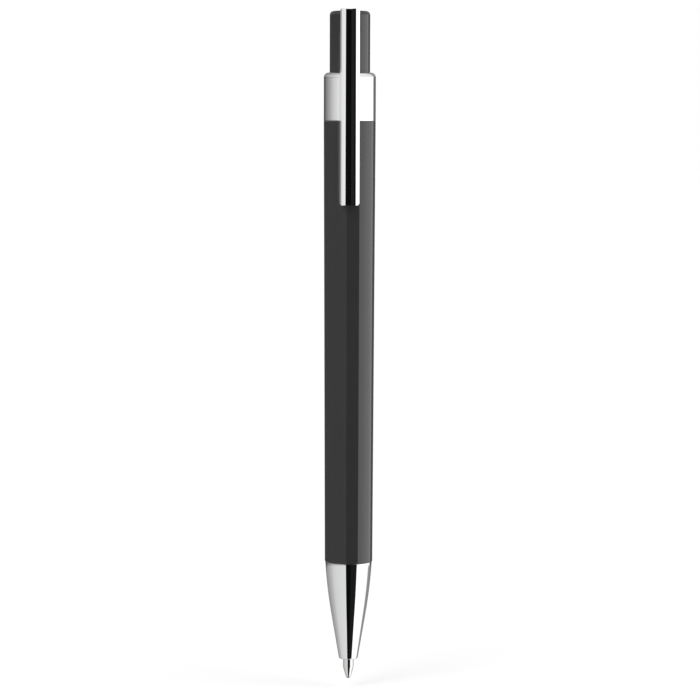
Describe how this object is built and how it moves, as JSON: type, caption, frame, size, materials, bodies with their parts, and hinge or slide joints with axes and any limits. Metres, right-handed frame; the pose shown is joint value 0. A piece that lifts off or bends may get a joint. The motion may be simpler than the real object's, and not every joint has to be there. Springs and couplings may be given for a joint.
{
  "type": "retractable ballpoint pen",
  "caption": "Push-button ballpoint pen with a slim dark barrel, a chrome nose cone and collar, a chrome pocket clip fixed to the button, and a sprung refill that clicks out and in.",
  "frame": {"origin": "lowest point of the writing ball with the refill out, on the pen's axis", "axes": "+Z along the pen's axis from the point to the button, -Y towards the pocket clip, +X to the right in the picture"},
  "size_m": [0.0108, 0.0123, 0.1404],
  "materials": {
    "barrel_plastic": "glossy black",
    "button_plastic": "glossy black",
    "chrome": "polished",
    "cam_plastic": "moulded, self-lubricating",
    "connector_plastic": "moulded",
    "tube_plastic": "translucent extruded tube",
    "point_metal": "turned nickel silver",
    "ball_steel": "ground",
    "spring_steel": "drawn wire",
    "ink": "paste",
    "grease": "clear grease"
  },
  "bodies": {
    "barrel": {"barrel": "barrel_plastic", "nose_cone": "chrome", "collar_ring": "chrome", "cam_sleeve": "cam_plastic", "return_spring": "spring_steel"},
    "button": {"push_button": "button_plastic", "cam_plunger": "cam_plastic"},
    "clip": {"pocket_clip": "chrome"},
    "refill": {"refill_tube": "tube_plastic", "refill_connector": "connector_plastic", "refill_point": "point_metal", "ink_column": "ink", "ink_follower": "grease", "cam_rotor": "cam_plastic"},
    "ball": {"writing_ball": "ball_steel"}
  },
  "joints": [
    {"name": "button_press", "type": "slide", "parent": "barrel", "child": "button", "axis": [0, 0, -1], "range_m": [-0.0052, 0.0016]},
    {"name": "refill_slide", "type": "slide", "parent": "barrel", "child": "refill", "axis": [0, 0, -1], "range_m": [-0.0052, 0.0016], "deforming": ["return_spring"]},
    {"name": "clip_flex", "type": "hinge", "parent": "button", "child": "clip", "pos_m": [0, -0.0025, 0.1393], "axis": [-1, 0, 0], "range_deg": [0, 4], "stiffness_Nm_per_rad": 1.9},
    {"name": "ball_roll", "type": "hinge", "parent": "refill", "child": "ball", "pos_m": [0, 0, 0.0005], "axis": [1, 0, 0], "continuous": true}
  ],
  "couplings": [
    {"joint": "refill_slide", "follows": "button_press", "ratio": 1}
  ]
}
